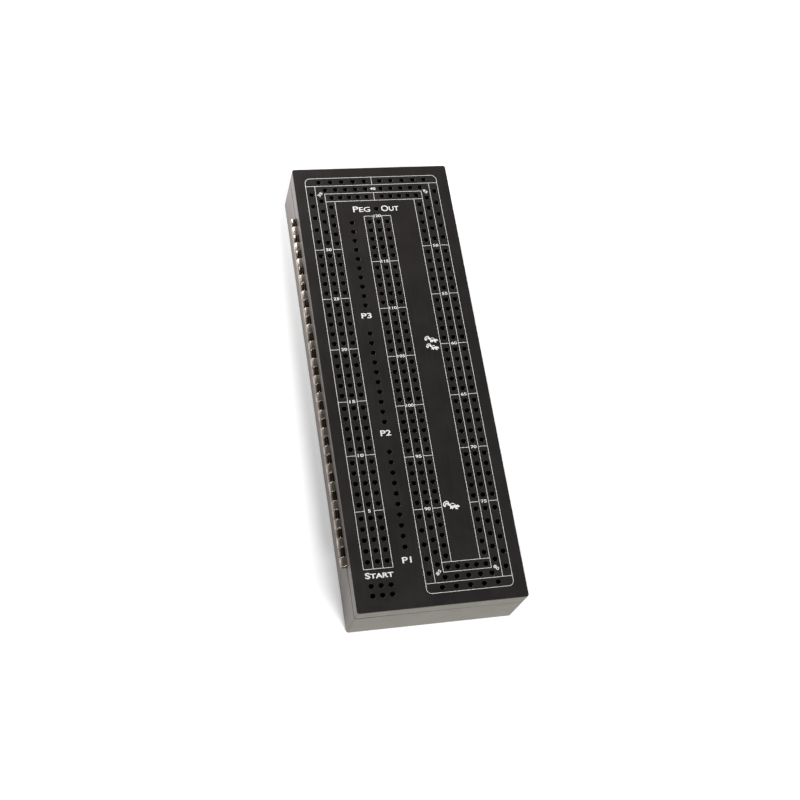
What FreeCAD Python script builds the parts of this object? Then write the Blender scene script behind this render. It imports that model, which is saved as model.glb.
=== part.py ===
import FreeCAD, Part
import math
import os

# Cribbage board box: a long, low wooden box whose thick drilled lid is the playing board.
# The lid turns on a piano hinge let into the seam along one long side. The base holds two
# decks of cards and a block for the nine pegs.
#
# Frame, in millimetres: the origin is the middle of the underside, +Z is up, Y runs along
# the box from the start holes to the peg-out end, and the hinge is on the -X side.

# ---------------------------------------------------------------- whole box
BOX_LENGTH = 300.0
BOX_WIDTH = 104.0
BOX_HEIGHT = 42.0
BOARD_THICKNESS = 11.0        # from the seam to the playing face
CORNER_RADIUS = 1.6           # upright corners, broken with sandpaper before lacquering
EDGE_EASE = 0.6               # flat broken along the edges of the playing face and the underside
SEAM_GAP_HINGE = 0.9          # the hinge holds that edge of the board off the rim
SEAM_GAP_FREE = 0.3           # the free edge closes almost down to the rim

# ---------------------------------------------------------------- base
WALL = 10.0
FLOOR_THICKNESS = 4.0
FLOOR_SEAT = 5.0              # how far the floor panel laps into the walls
DIVIDER = 5.0
DIVIDER_DROP = 1.0            # the dividers stop this far under the rim
CARD_WELL_LENGTH = 95.0       # room for an 89 mm deck and fingertips
PEG_BLOCK_HEIGHT = 13.0
FELT = 1.0

# ---------------------------------------------------------------- playing face
LANE_PITCH = 5.92             # between the three players' lanes
COLUMN_INSET = 16.5           # long side to the middle lane of an outer column
TOP_ROW_INSET = 16.2          # peg-out end to the middle lane of the top row
BOTTOM_ROW_INSET = 16.75      # start end to the middle lane of the bottom row
GROUP_HOLE_COUNT = 5
ROW_PITCH = 6.74              # hole to hole along the outer columns
GROUP_GAP = 8.6               # last hole of a group to the first of the next
FIRST_ROW_INSET = 30.2        # start end to hole 1
LEFT_GROUP_COUNT = 6          # even groups up the first column, holes 1 to 30
HOME_ROW_PITCH = 6.32         # hole to hole along the home column
HOME_GROUP_COUNT = 6          # even groups up the home column, holes 91 to 120
HOME_BOUNDARY_INSET = 59.75   # start end to the line under hole 91
CORNER_CLEAR = 9.2            # corner to the nearest hole of a column, outer lane
CORNER_CLEAR_STEP = 1.05      # each lane further in comes this much closer
TOP_GROUP_LEAD = 4.4          # line 30 to hole 31, inner lane
TOP_GROUP_LEAD_STEP = 0.85    # each lane further out starts this much later
TOP_ROW_CLEAR = 5.9           # corner to the nearest hole of the top row, outer lane
TOP_ROW_CLEAR_STEP = 2.4
TOP_ROW_MIDDLE_CLEAR = 5.2    # line 40 to the holes either side of it
BOTTOM_ROW_CLEAR = 6.5        # the same for the bottom row
BOTTOM_ROW_CLEAR_STEP = 3.2
PEG_OUT_INSET = 31.5          # peg-out end to the peg-out hole
START_INSET = 9.8             # start end to the first pair of start holes
START_PITCH = 5.8
START_ROW_COUNT = 2
GAME_COLUMN_X = -17.7         # the three rows of ten holes that count games won
GAME_FIRST_INSET = 37.5
GAME_HOLE_COUNT = 10
GAME_PITCH = 6.72
GAME_PERIOD = 80.3            # one player's ten holes to the next player's
PLAYER_COUNT = 3

PEG_HOLE_DIAMETER = 3.2
PEG_HOLE_DEPTH = 7.0
PEG_HOLE_SIDES = 6            # the many small holes, and the pegs, are drawn with flats
PEG_OUT_HOLE_DEPTH = 8.0      # the one hole that is drilled round and a little deeper

# ---------------------------------------------------------------- pegs and their block
PEG_HEADROOM = 1.5            # peg tops to the height of the seam
PEG_SHAFT_RADIUS = 1.4
PEG_HEAD_RADIUS = 2.0
PEG_HEAD_LENGTH = 9.0
PEG_FOOTING = 2.0             # wood left under a stored peg
PEG_STORE_PITCH = 10.0

# ---------------------------------------------------------------- piano hinge
KNUCKLE_COUNT = 40
KNUCKLE_PITCH = 5.92
KNUCKLE_SIDES = 8             # flats round the outside of a knuckle
KNUCKLE_END_GAP = 0.16        # play between neighbouring knuckles
HINGE_OFFSET = 1.4            # barrel centre outside the side of the box
HINGE_SHEET = 0.9
PIN_RADIUS = 1.4
PIN_CLEARANCE = 0.06
LEAF_REACH = 9.6              # barrel centre to the leaf's far edge
NOTCH_CLEARANCE = 0.4         # barrel to the sheet between the knuckles
REBATE_MARGIN = 0.3
SCREW_COUNT = 5
SCREW_SETBACK = 5.3           # long side to the line of screws
SCREW_END_INSET = 16.0        # hinge end to its first screw
SCREW_LENGTH = 7.0
SCREW_HEAD_RADIUS = 2.1
SCREW_SHANK_RADIUS = 1.0
SCREW_CLEARANCE = 0.05

# ---------------------------------------------------------------- magnets at the free edge
MAGNET_RADIUS = 3.0
MAGNET_THICKNESS = 3.0
MAGNET_SPACING = 150.0
MAGNET_SIDES = 10
MAGNET_CLEARANCE = 0.05

# ---------------------------------------------------------------- sizes that follow
half_length = BOX_LENGTH / 2
half_width = BOX_WIDTH / 2
seam_z = BOX_HEIGHT - BOARD_THICKNESS
knuckle_radius = PIN_RADIUS + PIN_CLEARANCE + HINGE_SHEET
hinge_x = -half_width - HINGE_OFFSET
hinge_half = KNUCKLE_COUNT * KNUCKLE_PITCH / 2
rebate_half = hinge_half + REBATE_MARGIN
rebate_width = LEAF_REACH - HINGE_OFFSET + REBATE_MARGIN
inner_half_length = half_length - WALL
inner_half_width = half_width - WALL
bay_half_length = inner_half_length - CARD_WELL_LENGTH - DIVIDER
block_top = FLOOR_THICKNESS + PEG_BLOCK_HEIGHT
peg_foot_z = FLOOR_THICKNESS + PEG_FOOTING
peg_top_z = seam_z - PEG_HEADROOM


# ---------------------------------------------------------------- shapes used throughout
def block(x_range, y_range, z_range):
    """A plain rectangular piece between the given limits."""
    corner = FreeCAD.Vector(x_range[0], y_range[0], z_range[0])
    return Part.makeBox(
        x_range[1] - x_range[0],
        y_range[1] - y_range[0],
        z_range[1] - z_range[0],
        corner,
    )


def ring_of_points(x, y, z, corner_radius, sides):
    """The corners of a regular outline that lies flat at height z."""
    turn = 2 * math.pi / sides
    return [
        FreeCAD.Vector(
            x + corner_radius * math.cos(turn * (i + 0.5)),
            y + corner_radius * math.sin(turn * (i + 0.5)),
            z,
        )
        for i in range(sides)
    ]


def outline(points):
    """A closed wire through the points."""
    return Part.makePolygon(points + points[:1])


def upright_prism(x, y, z_bottom, z_top, corner_radius, sides):
    """A straight upright bar with flats."""
    face = Part.Face(outline(ring_of_points(x, y, z_bottom, corner_radius, sides)))
    return face.extrude(FreeCAD.Vector(0, 0, z_top - z_bottom))


def turned(x, y, sections, sides):
    """A turned piece with flats: sections are (height, radius) from one end to the other."""
    rings = [ring_of_points(x, y, z, radius, sides) for z, radius in sections]
    faces = [Part.Face(outline(rings[0])), Part.Face(outline(rings[-1]))]
    for lower, upper in zip(rings, rings[1:]):
        for i in range(sides):
            after = (i + 1) % sides
            flat = [lower[i], lower[after], upper[after], upper[i]]
            faces.append(Part.Face(outline(flat)))
    solid = Part.makeSolid(Part.makeShell(faces))
    if solid.Volume < 0:
        solid.reverse()
    return solid


def equal_area_radius(radius, sides):
    """Corner radius of the flat-sided outline with the area of a circle."""
    return radius * math.sqrt(2 * math.pi / (sides * math.sin(2 * math.pi / sides)))


def clear_radius(radius, sides):
    """Corner radius of the flat-sided outline that just holds a circle."""
    return radius / math.cos(math.pi / sides)


def spread(first, last, count):
    """Evenly spaced positions from first to last."""
    return [first + (last - first) * i / (count - 1) for i in range(count)]


def along_y(profile_points, y_range, hole_points=None):
    """A profile given as (x, z) pairs, drawn out along the box."""
    wires = [outline([FreeCAD.Vector(x, y_range[0], z) for x, z in profile_points])]
    if hole_points:
        wires.append(outline([FreeCAD.Vector(x, y_range[0], z) for x, z in hole_points]))
    face = Part.makeFace(wires, "Part::FaceMakerBullseye")
    return face.extrude(FreeCAD.Vector(0, y_range[1] - y_range[0], 0))


def upright_edges(solid):
    """The edges that stand straight up."""
    return [e for e in solid.Edges if abs(e.tangentAt(e.FirstParameter).z) > 0.999]


def edges_at_height(solid, z):
    """The edges that lie wholly at one height."""
    return [
        e for e in solid.Edges
        if abs(e.BoundBox.ZMin - z) < 1e-6 and abs(e.BoundBox.ZMax - z) < 1e-6
    ]


def eased_block(z_bottom, z_top, eased_z):
    """The outside of the box between two heights, with rounded corners and one eased rim."""
    solid = block((-half_width, half_width), (-half_length, half_length), (z_bottom, z_top))
    solid = solid.makeFillet(CORNER_RADIUS, upright_edges(solid))
    return solid.makeChamfer(EDGE_EASE, edges_at_height(solid, eased_z))


# ---------------------------------------------------------------- where the holes go
side_x = half_width - COLUMN_INSET
top_y = half_length - TOP_ROW_INSET
bottom_y = BOTTOM_ROW_INSET - half_length
group_length = (GROUP_HOLE_COUNT - 1) * ROW_PITCH
group_period = group_length + GROUP_GAP
first_row_y = FIRST_ROW_INSET - half_length
first_boundary_y = first_row_y + group_length + GROUP_GAP / 2
last_boundary_y = first_row_y + LEFT_GROUP_COUNT * group_period - GROUP_GAP / 2
home_boundary_y = HOME_BOUNDARY_INSET - half_length
home_group_length = (GROUP_HOLE_COUNT - 1) * HOME_ROW_PITCH


def street_holes():
    """The 360 holes of the three lanes, as (x, y).

    Lane 1 is the outermost on the outer columns and lane -1 the innermost. The lanes keep
    the same number of holes round each corner, so the outer ones are spaced wider there.
    """
    holes = []
    for lane in (1, 0, -1):
        inward = 1 - lane
        offset = lane * LANE_PITCH
        near_corner = CORNER_CLEAR - CORNER_CLEAR_STEP * inward
        lead = TOP_GROUP_LEAD + TOP_GROUP_LEAD_STEP * (lane + 1)
        top_lane_y = top_y + offset
        bottom_lane_y = bottom_y - offset

        # the even groups of the two outer columns
        for group in range(LEFT_GROUP_COUNT):
            start = first_row_y + group * group_period
            for y in spread(start, start + group_length, GROUP_HOLE_COUNT):
                holes.append((-side_x - offset, y))
                if group > 0:
                    holes.append((side_x + offset, y))

        # the stretched groups under the top corners, and the top row between them
        top_ends = (last_boundary_y + lead, top_lane_y - near_corner)
        row_clear = TOP_ROW_CLEAR - TOP_ROW_CLEAR_STEP * inward
        row_ends = (TOP_ROW_MIDDLE_CLEAR, side_x + offset - row_clear)
        for side in (-1, 1):
            for y in spread(*top_ends, GROUP_HOLE_COUNT):
                holes.append((side * (side_x + offset), y))
            for x in spread(*row_ends, GROUP_HOLE_COUNT):
                holes.append((side * x, top_lane_y))

        # the stretched groups over the bottom corners, and the bottom row between them
        right_ends = (first_boundary_y - GROUP_GAP / 2, bottom_lane_y + near_corner)
        home_ends = (home_boundary_y - GROUP_GAP / 2, bottom_lane_y + near_corner)
        for y in spread(*right_ends, GROUP_HOLE_COUNT):
            holes.append((side_x + offset, y))
        for y in spread(*home_ends, GROUP_HOLE_COUNT):
            holes.append((-offset, y))
        row_clear = BOTTOM_ROW_CLEAR - BOTTOM_ROW_CLEAR_STEP * inward
        for x in spread(-offset + row_clear, side_x + offset - row_clear, GROUP_HOLE_COUNT):
            holes.append((x, bottom_lane_y))

        # the even groups of the home column
        for group in range(HOME_GROUP_COUNT):
            start = home_boundary_y + GROUP_GAP / 2 + group * (home_group_length + GROUP_GAP)
            for y in spread(start, start + home_group_length, GROUP_HOLE_COUNT):
                holes.append((-offset, y))
    return holes


def start_holes():
    """Two resting holes for each player before hole 1."""
    return [
        (-side_x + lane * LANE_PITCH, START_INSET - half_length + row * START_PITCH)
        for lane in (-1, 0, 1)
        for row in range(START_ROW_COUNT)
    ]


def game_holes():
    """Ten holes for each player to count games won."""
    first_y = GAME_FIRST_INSET - half_length
    return [
        (GAME_COLUMN_X, first_y + player * GAME_PERIOD + i * GAME_PITCH)
        for player in range(PLAYER_COUNT)
        for i in range(GAME_HOLE_COUNT)
    ]


# ---------------------------------------------------------------- hinge positions
screw_x = -half_width + SCREW_SETBACK
screw_ys = spread(-hinge_half + SCREW_END_INSET, hinge_half - SCREW_END_INSET, SCREW_COUNT)
base_seat_z = seam_z - knuckle_radius          # wood under the base leaf
board_seat_z = seam_z + knuckle_radius         # wood over the board leaf
magnet_x = half_width - WALL / 2
magnet_ys = (-MAGNET_SPACING / 2, MAGNET_SPACING / 2)


def hinge_leaf(up, first_knuckle):
    """One leaf: a flat sheet with every other knuckle curled from its edge round the pin.

    up is 1 for the board's leaf, whose sheet lies over the pin, and -1 for the base's.
    """
    notch_x = hinge_x + clear_radius(knuckle_radius, KNUCKLE_SIDES) + NOTCH_CLEARANCE
    sheet_z = sorted((seam_z + up * (knuckle_radius - HINGE_SHEET), seam_z + up * knuckle_radius))
    sheet = block((notch_x, hinge_x + LEAF_REACH), (-hinge_half, hinge_half), sheet_z)

    # the knuckle is an eight-sided curl whose flat top runs on into the sheet, and its bore,
    # out of sight round the pin, is four flats that the pin just clears
    flat = knuckle_radius * math.tan(math.pi / KNUCKLE_SIDES)
    under = knuckle_radius - HINGE_SHEET
    curl = [
        (notch_x - hinge_x, knuckle_radius),
        (-flat, knuckle_radius),
        (-knuckle_radius, flat),
        (-knuckle_radius, -flat),
        (-flat, -knuckle_radius),
        (flat, -knuckle_radius),
        (knuckle_radius, -flat),
        (knuckle_radius, flat),
        (knuckle_radius + flat - under, under),
        (notch_x - hinge_x, under),
    ]
    half_bore = PIN_RADIUS + PIN_CLEARANCE
    bore = [
        (half_bore, half_bore),
        (-half_bore, half_bore),
        (-half_bore, -half_bore),
        (half_bore, -half_bore),
    ]
    curl = [(hinge_x + x, seam_z + up * z) for x, z in curl]
    bore = [(hinge_x + x, seam_z + up * z) for x, z in bore]
    pieces = []
    for i in range(first_knuckle, KNUCKLE_COUNT, 2):
        start = -hinge_half + i * KNUCKLE_PITCH + KNUCKLE_END_GAP / 2
        pieces.append(along_y(curl, (start, start + KNUCKLE_PITCH - KNUCKLE_END_GAP), bore))
    leaf = sheet.fuse(pieces).removeSplitter()

    # countersunk screw holes, open towards the other leaf
    face_z = seam_z + up * under
    seat_z = seam_z + up * knuckle_radius
    cutters = []
    for y in screw_ys:
        cutters.append(
            turned(
                screw_x,
                y,
                [
                    (face_z, SCREW_HEAD_RADIUS + SCREW_CLEARANCE),
                    (seat_z, SCREW_SHANK_RADIUS + SCREW_CLEARANCE),
                ],
                6,
            )
        )
    return leaf.cut(cutters)


def hinge_screws(up):
    """Countersunk wood screws whose heads lie flush with their leaf."""
    face_z = seam_z + up * (knuckle_radius - HINGE_SHEET)
    sections = [
        (face_z, SCREW_HEAD_RADIUS),
        (face_z + up * HINGE_SHEET, SCREW_SHANK_RADIUS),
        (face_z + up * (SCREW_LENGTH - 2 * SCREW_SHANK_RADIUS), SCREW_SHANK_RADIUS),
        (face_z + up * SCREW_LENGTH, SCREW_SHANK_RADIUS / 4),
    ]
    return Part.makeCompound([turned(screw_x, y, sections, 6) for y in screw_ys])


def screw_pilots(up):
    """The holes those screws are driven into."""
    seat_z = seam_z + up * knuckle_radius
    end_z = seam_z + up * (knuckle_radius - HINGE_SHEET + SCREW_LENGTH)
    low, high = sorted((seat_z, end_z))
    radius = SCREW_SHANK_RADIUS + SCREW_CLEARANCE
    return [upright_prism(screw_x, y, low, high, radius, 6) for y in screw_ys]


def magnets(z_bottom, extra=0.0):
    """Two discs, or their pockets when extra clearance is given."""
    corner = clear_radius(MAGNET_RADIUS + extra, MAGNET_SIDES)
    return [
        upright_prism(magnet_x, y, z_bottom, z_bottom + MAGNET_THICKNESS, corner, MAGNET_SIDES)
        for y in magnet_ys
    ]


def board_underside(x):
    """Height of the board's underside, which rises a little towards the hinge."""
    share = (half_width - x) / BOX_WIDTH
    return seam_z + SEAM_GAP_FREE + share * (SEAM_GAP_HINGE - SEAM_GAP_FREE)


# ---------------------------------------------------------------- the playing board
def make_board():
    board = eased_block(seam_z, BOX_HEIGHT, BOX_HEIGHT)
    past = half_width + 1
    relief = along_y(
        [
            (-past, seam_z - 1),
            (past, seam_z - 1),
            (past, board_underside(past)),
            (-past, board_underside(-past)),
        ],
        (-half_length - 1, half_length + 1),
    )
    rebate = block(
        (-half_width - 1, -half_width + rebate_width),
        (-rebate_half, rebate_half),
        (seam_z - 1, board_seat_z),
    )
    magnet_z = board_underside(magnet_x + MAGNET_RADIUS)
    board = board.cut([relief, rebate] + screw_pilots(1) + magnets(magnet_z, MAGNET_CLEARANCE))

    corner = equal_area_radius(PEG_HOLE_DIAMETER / 2, PEG_HOLE_SIDES)
    bottom = BOX_HEIGHT - PEG_HOLE_DEPTH
    drills = [
        upright_prism(x, y, bottom, BOX_HEIGHT + 1, corner, PEG_HOLE_SIDES)
        for x, y in street_holes() + start_holes() + game_holes()
    ]
    drills.append(
        Part.makeCylinder(
            PEG_HOLE_DIAMETER / 2,
            PEG_OUT_HOLE_DEPTH + 1,
            FreeCAD.Vector(0, half_length - PEG_OUT_INSET, BOX_HEIGHT - PEG_OUT_HOLE_DEPTH),
        )
    )
    return board.cut(drills)


# ---------------------------------------------------------------- the base
def make_walls():
    """Four walls mitred at the corners, rebated below for the floor panel."""
    outside = eased_block(0, seam_z, 0)
    floor_seat = block(
        (-inner_half_width - FLOOR_SEAT, inner_half_width + FLOOR_SEAT),
        (-inner_half_length - FLOOR_SEAT, inner_half_length + FLOOR_SEAT),
        (0, FLOOR_THICKNESS),
    )
    hinge_rebate = block(
        (-half_width - 1, -half_width + rebate_width),
        (-rebate_half, rebate_half),
        (base_seat_z, seam_z + 1),
    )
    walls = {}
    for name, side, across in (
        ("base_wall_front", -1, False),
        ("base_wall_back", 1, False),
        ("base_wall_hinge_side", -1, True),
        ("base_wall_free_side", 1, True),
    ):
        if across:
            plan = [
                (side * half_width, -half_length),
                (side * half_width, half_length),
                (side * inner_half_width, inner_half_length),
                (side * inner_half_width, -inner_half_length),
            ]
        else:
            plan = [
                (-half_width, side * half_length),
                (half_width, side * half_length),
                (inner_half_width, side * inner_half_length),
                (-inner_half_width, side * inner_half_length),
            ]
        face = Part.Face(outline([FreeCAD.Vector(x, y, 0) for x, y in plan]))
        mitred = face.extrude(FreeCAD.Vector(0, 0, seam_z))
        walls[name] = outside.common(mitred).cut(floor_seat)
    walls["base_wall_hinge_side"] = walls["base_wall_hinge_side"].cut(
        [hinge_rebate] + screw_pilots(-1)
    )
    walls["base_wall_free_side"] = walls["base_wall_free_side"].cut(
        magnets(seam_z - MAGNET_THICKNESS, MAGNET_CLEARANCE)
    )
    return walls


def make_floor():
    return block(
        (-inner_half_width - FLOOR_SEAT, inner_half_width + FLOOR_SEAT),
        (-inner_half_length - FLOOR_SEAT, inner_half_length + FLOOR_SEAT),
        (0, FLOOR_THICKNESS),
    )


def make_divider(side):
    """A thin cross wall between a card well and the peg bay."""
    near, far = sorted((side * bay_half_length, side * (bay_half_length + DIVIDER)))
    return block(
        (-inner_half_width, inner_half_width),
        (near, far),
        (FLOOR_THICKNESS, seam_z - DIVIDER_DROP),
    )


def make_lining(side):
    """A felt sheet on the floor of a card well."""
    near, far = sorted((side * (bay_half_length + DIVIDER), side * inner_half_length))
    return block(
        (-inner_half_width, inner_half_width),
        (near, far),
        (FLOOR_THICKNESS, FLOOR_THICKNESS + FELT),
    )


peg_spots = {
    "pegs_red": -PEG_STORE_PITCH,
    "pegs_white": 0.0,
    "pegs_blue": PEG_STORE_PITCH,
}
peg_store_xs = spread(-PEG_STORE_PITCH, PEG_STORE_PITCH, PLAYER_COUNT)


def make_peg_block():
    """A low block between the dividers with a blind hole for each peg."""
    body = block(
        (-inner_half_width, inner_half_width),
        (-bay_half_length, bay_half_length),
        (FLOOR_THICKNESS, block_top),
    )
    corner = equal_area_radius(PEG_HOLE_DIAMETER / 2, PEG_HOLE_SIDES)
    drills = [
        upright_prism(x, y, peg_foot_z, block_top + 1, corner, PEG_HOLE_SIDES)
        for y in peg_spots.values()
        for x in peg_store_xs
    ]
    return body.cut(drills)


def make_pegs(y):
    """Three pegs of one player, each a straight shank under a flared, rounded head."""
    sections = [
        (peg_foot_z, PEG_SHAFT_RADIUS),
        (peg_top_z - PEG_HEAD_LENGTH, PEG_SHAFT_RADIUS),
        (peg_top_z - PEG_SHAFT_RADIUS, PEG_HEAD_RADIUS),
        (peg_top_z, PEG_SHAFT_RADIUS),
    ]
    return Part.makeCompound([turned(x, y, sections, PEG_HOLE_SIDES) for x in peg_store_xs])


# ---------------------------------------------------------------- all the pieces
pieces = make_walls()
pieces["base_floor"] = make_floor()
pieces["well_divider_front"] = make_divider(-1)
pieces["well_divider_back"] = make_divider(1)
pieces["well_lining_front"] = make_lining(-1)
pieces["well_lining_back"] = make_lining(1)
pieces["peg_block"] = make_peg_block()
for name, y in peg_spots.items():
    pieces[name] = make_pegs(y)
pieces["closing_magnets_base"] = Part.makeCompound(magnets(seam_z - MAGNET_THICKNESS))
pieces["hinge_leaf_base"] = hinge_leaf(-1, 1)
pieces["hinge_screws_base"] = hinge_screws(-1)
pieces["hinge_pin"] = Part.makeCylinder(
    PIN_RADIUS,
    2 * hinge_half,
    FreeCAD.Vector(hinge_x, -hinge_half, seam_z),
    FreeCAD.Vector(0, 1, 0),
)
pieces["lid_board"] = make_board()
pieces["closing_magnets_lid"] = Part.makeCompound(
    magnets(board_underside(magnet_x + MAGNET_RADIUS))
)
pieces["hinge_leaf_lid"] = hinge_leaf(1, 0)
pieces["hinge_screws_lid"] = hinge_screws(1)

os.makedirs("parts", exist_ok=True)
for name, shape in pieces.items():
    if not shape.isValid():
        raise ValueError(name + " is not a valid shape")
    shape.exportStep("parts/" + name + ".step")
    print(name, len(shape.Solids), "solids", round(shape.Volume), "mm3")
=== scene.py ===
# %% [markdown]
# # Dressing a hinged cribbage box
# The construction model already holds every solid of this box at its real size: the drilled
# board that is also the lid, four mitred walls, a floor, the piano hinge and what lies inside.
# This lesson leaves those sizes alone and gives the pieces their looks: round bores, curled
# metal, printed lines, lacquer, felt and light.

# %% Load the fixed frame
import math

import bmesh
import bpy
from mathutils import Matrix, Vector, kdtree, noise
from mathutils.geometry import tessellate_polygon


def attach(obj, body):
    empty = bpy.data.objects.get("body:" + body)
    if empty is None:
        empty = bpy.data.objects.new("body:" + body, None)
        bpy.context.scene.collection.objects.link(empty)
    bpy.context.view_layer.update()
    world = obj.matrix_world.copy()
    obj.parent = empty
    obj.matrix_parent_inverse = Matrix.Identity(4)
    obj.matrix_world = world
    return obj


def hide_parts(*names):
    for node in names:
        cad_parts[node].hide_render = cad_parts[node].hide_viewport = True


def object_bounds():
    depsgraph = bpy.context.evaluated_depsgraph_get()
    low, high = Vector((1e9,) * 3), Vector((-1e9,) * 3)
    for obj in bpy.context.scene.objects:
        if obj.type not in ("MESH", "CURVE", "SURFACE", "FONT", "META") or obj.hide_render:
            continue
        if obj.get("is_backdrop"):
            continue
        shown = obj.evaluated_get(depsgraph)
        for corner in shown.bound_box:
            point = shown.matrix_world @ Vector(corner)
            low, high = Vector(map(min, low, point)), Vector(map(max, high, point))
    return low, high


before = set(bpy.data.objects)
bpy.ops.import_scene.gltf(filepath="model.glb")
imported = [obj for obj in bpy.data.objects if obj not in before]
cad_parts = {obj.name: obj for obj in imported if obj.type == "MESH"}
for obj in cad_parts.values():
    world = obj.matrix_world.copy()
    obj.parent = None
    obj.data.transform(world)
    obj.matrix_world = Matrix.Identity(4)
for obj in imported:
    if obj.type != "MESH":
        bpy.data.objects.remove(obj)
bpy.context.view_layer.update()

scene = bpy.context.scene

# %% [markdown]
# ## The camera
# A long lens from high up flattens the box a little and still shows two of its sides. The
# camera stands on the hinge side near the start end, tipped so that the box leans to the left.

# %% Camera
camera_data = bpy.data.cameras.new("studio_camera")
camera_data.lens = 63.735
camera_data.sensor_width = 36
camera_data.clip_start = 0.01
camera_data.clip_end = 60
camera = bpy.data.objects.new("studio_camera", camera_data)
camera.location = (-0.21034, -0.35101, 0.82340)
camera.rotation_euler = [math.radians(angle) for angle in (24.377, -10.847, -9.043)]
scene.collection.objects.link(camera)
scene.camera = camera
scene.view_settings.view_transform = "Standard"
print("camera", round(camera.location.length, 3), "m from the middle of the box")

# %% [markdown]
# ## The studio
# Black lacquer shows its surroundings more than its own colour. A ceiling that is darker than
# the walls keeps the top of the box black, while the pale floor makes the upright sides look
# grey. One could light the sides with lamps instead, but their highlights would wander over
# the lacquer in every view, so the room itself does that part of the work.

# %% Room light
WALL_LIGHT = 0.31
CEILING_LIGHT = 0.04
# the room darkens between these two heights, where 1 is straight overhead
WALL_TOP = 0.42
CEILING_EDGE = 0.78
world = bpy.data.worlds.new("studio_room")
scene.world = world
world.use_nodes = True
nodes, links = world.node_tree.nodes, world.node_tree.links
direction = nodes.new("ShaderNodeTexCoord")
height = nodes.new("ShaderNodeSeparateXYZ")
nodes["Background"].inputs["Color"].default_value = (1, 1, 1, 1)
level = nodes.new("ShaderNodeMapRange")
level.interpolation_type = "SMOOTHSTEP"
level.inputs["From Min"].default_value = WALL_TOP
level.inputs["From Max"].default_value = CEILING_EDGE
level.inputs["To Min"].default_value = WALL_LIGHT
level.inputs["To Max"].default_value = CEILING_LIGHT
links.new(direction.outputs["Generated"], height.inputs["Vector"])
links.new(height.outputs["Z"], level.inputs["Value"])
links.new(level.outputs["Result"], nodes["Background"].inputs["Strength"])
print("room light", WALL_LIGHT, "low and", CEILING_LIGHT, "overhead")

# %% [markdown]
# ## The lamps
# The key light is a sun with a wide disc, because it is equally strong over the whole floor
# and its shadow stays soft. A softbox close to the far end of the hinge side adds the slow
# change from one end of the box to the other that a real window or lamp gives.

# %% Lamps
def hang(name, kind, place):
    """A lamp of one kind that looks at the middle of the box and is hidden from the camera."""
    light = bpy.data.lights.new(name, kind)
    lamp = bpy.data.objects.new(name, light)
    lamp.visible_camera = False
    lamp.location = place
    lamp.rotation_euler = (-lamp.location).to_track_quat("-Z", "Y").to_euler()
    scene.collection.objects.link(lamp)
    return light


key = hang("key_light", "SUN", (0.28, -0.95, 1.30))
key.angle = math.radians(22)
key.energy = 3.0
softbox = hang("end_softbox", "AREA", (-0.20, 0.34, 0.10))
softbox.shape = "SQUARE"
softbox.size = 0.20
softbox.energy = 1.5
print("lamps", key.name, softbox.name)

# %% [markdown]
# ## The floor
# The box stands on one wide sheet of white paper. A faint glow that only the camera, mirrors
# and clear materials see lifts the paper to pure white, and the shadow stays on it. The paper
# could be made brighter instead, but then it would also throw more light on the box.

# %% Floor
FLOOR_REACH = 8
FLOOR_DROP = 0.0002
PAPER_WHITE = 0.82
PAPER_GLOW = 0.30
SQUARE = ((-1, -1), (1, -1), (1, 1), (-1, 1))
floor_mesh = bpy.data.meshes.new("studio_floor")
floor_mesh.from_pydata(
    [(x * FLOOR_REACH, y * FLOOR_REACH, -FLOOR_DROP) for x, y in SQUARE],
    [],
    [(0, 1, 2, 3)],
)
floor = bpy.data.objects.new("studio_floor", floor_mesh)
scene.collection.objects.link(floor)
floor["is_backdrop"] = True
print("floor", 2 * FLOOR_REACH, "m across")

# %% Floor paper
paper = bpy.data.materials.new("white_paper")
paper.use_nodes = True
nodes, links = paper.node_tree.nodes, paper.node_tree.links
nodes.clear()
matt = nodes.new("ShaderNodeBsdfDiffuse")
matt.inputs["Color"].default_value = (PAPER_WHITE, PAPER_WHITE, PAPER_WHITE, 1)
glow = nodes.new("ShaderNodeEmission")
seen_by = nodes.new("ShaderNodeLightPath")
seen = None
for kind in ("Is Camera Ray", "Is Glossy Ray", "Is Transmission Ray"):
    if seen is None:
        seen = seen_by.outputs[kind]
        continue
    either = nodes.new("ShaderNodeMath")
    either.operation = "MAXIMUM"
    links.new(seen, either.inputs[0])
    links.new(seen_by.outputs[kind], either.inputs[1])
    seen = either.outputs[0]
lift = nodes.new("ShaderNodeMath")
lift.operation = "MULTIPLY"
lift.inputs[1].default_value = PAPER_GLOW
links.new(seen, lift.inputs[0])
links.new(lift.outputs[0], glow.inputs["Strength"])
both = nodes.new("ShaderNodeAddShader")
links.new(matt.outputs[0], both.inputs[0])
links.new(glow.outputs[0], both.inputs[1])
links.new(both.outputs[0], nodes.new("ShaderNodeOutputMaterial").inputs["Surface"])
floor_mesh.materials.append(paper)
print("paper glows by", PAPER_GLOW)

# %% [markdown]
# ## Finishes
# Each finish is a small net of nodes. Noise that is stretched along one axis gives the faint
# lines that brushed lacquer and drawn metal keep, and a broader noise gives the uneven patches
# where hands have polished them. Both go into the roughness and the bump, so they show where
# light glances off and vanish where the surface faces the eye, as on the real thing.

# %% Noise for a new finish
MM = 0.001
ALL_WAYS = (1, 1, 1)


def new_finish(name):
    """A material with its principled shader, ready for nodes."""
    finish = bpy.data.materials.new(name)
    finish.use_nodes = True
    return finish, finish.node_tree, finish.node_tree.nodes["Principled BSDF"]


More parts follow.
